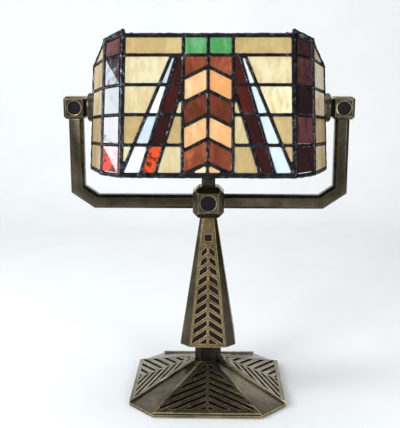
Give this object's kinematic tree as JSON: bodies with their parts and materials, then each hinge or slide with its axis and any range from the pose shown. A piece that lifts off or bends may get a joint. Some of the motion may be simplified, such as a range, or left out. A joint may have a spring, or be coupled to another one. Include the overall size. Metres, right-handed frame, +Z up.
{
  "type": "stained glass table lamp",
  "caption": "Table lamp: a came-framed stained glass shade tilts between the arms of a cast yoke on a tapered chevron column and octagonal base.",
  "frame": {"origin": "centre of the base's underside, on the surface it stands on", "axes": "+Z up, +X towards the viewer's right along the shade and its tilt axis, -Y towards the viewer"},
  "size_m": [0.2956, 0.162, 0.3812],
  "materials": {
    "cast_bronze": "antique bronze patina, edges worn to gold",
    "felt": "dark green felt",
    "ballast": "raw casting",
    "bushing": "matte",
    "brass": "satin",
    "plain_steel": "zinc plated",
    "came": "black patina on solder",
    "glass_cream": "streaky opalescent",
    "glass_white": "streaky opalescent",
    "glass_red": "dark red ripple",
    "glass_brown": "reddish brown streaky",
    "glass_peach": "peach to orange opalescent",
    "glass_green": "streaky green opalescent",
    "glass_maroon": "maroon streaky",
    "glass_amber": "amber opalescent",
    "liner": "pressed fibre",
    "phenolic": "moulded phenolic",
    "bulb_glass": "frosted",
    "bulb_metal": "thin drawn cap"
  },
  "bodies": {
    "stand": {"base_casting": "cast_bronze", "base_felt": "felt", "ballast_plate": "ballast", "cord_bushing": "bushing", "neck_collar": "cast_bronze", "column": "cast_bronze", "hub_block": "cast_bronze", "left_arm": "cast_bronze", "right_arm": "cast_bronze", "left_end_block": "cast_bronze", "right_end_block": "cast_bronze", "stem": "cast_bronze", "lamp_pipe": "brass", "lock_nut": "brass", "pipe_washer": "plain_steel", "pivot_studs": "brass", "pivot_nuts": "brass", "friction_washers": "bushing", "socket_cap": "brass", "socket_shell": "brass", "socket_liner": "liner", "socket_core": "phenolic", "screw_shell": "brass", "centre_contact": "brass", "bulb_glass": "bulb_glass", "bulb_cap": "bulb_metal"},
    "shade": {"pivot_discs": "cast_bronze", "rim_wire": "came", "arris_came": "came", "corner_seams": "came", "front_came": "came", "back_came": "came", "left_end_came": "came", "right_end_came": "came", "roof_came": "came", "left_roof_came": "came", "right_roof_came": "came", "front_cream_panes": "glass_cream", "front_white_panes": "glass_white", "front_red_panes": "glass_red", "front_brown_panes": "glass_brown", "front_peach_panes": "glass_peach", "front_green_panes": "glass_green", "back_cream_panes": "glass_cream", "back_white_panes": "glass_white", "back_red_panes": "glass_red", "back_brown_panes": "glass_brown", "back_peach_panes": "glass_peach", "back_green_panes": "glass_green", "corner_maroon_panes": "glass_maroon", "corner_amber_panes": "glass_amber", "end_amber_panes": "glass_amber", "roof_cream_panes": "glass_cream", "roof_green_panes": "glass_green", "roof_maroon_panes": "glass_maroon", "roof_amber_panes": "glass_amber"},
    "switch": {"switch_spindle": "brass", "switch_knob": "phenolic"}
  },
  "joints": [
    {"name": "shade_tilt", "type": "hinge", "parent": "stand", "child": "shade", "pos_m": [0, 0, 0.3041], "axis": [1, 0, 0], "range_deg": [-35, 35]},
    {"name": "switch_turn", "type": "hinge", "parent": "stand", "child": "switch", "pos_m": [0.02, 0, 0.265], "axis": [1, 0, 0], "continuous": true}
  ]
}
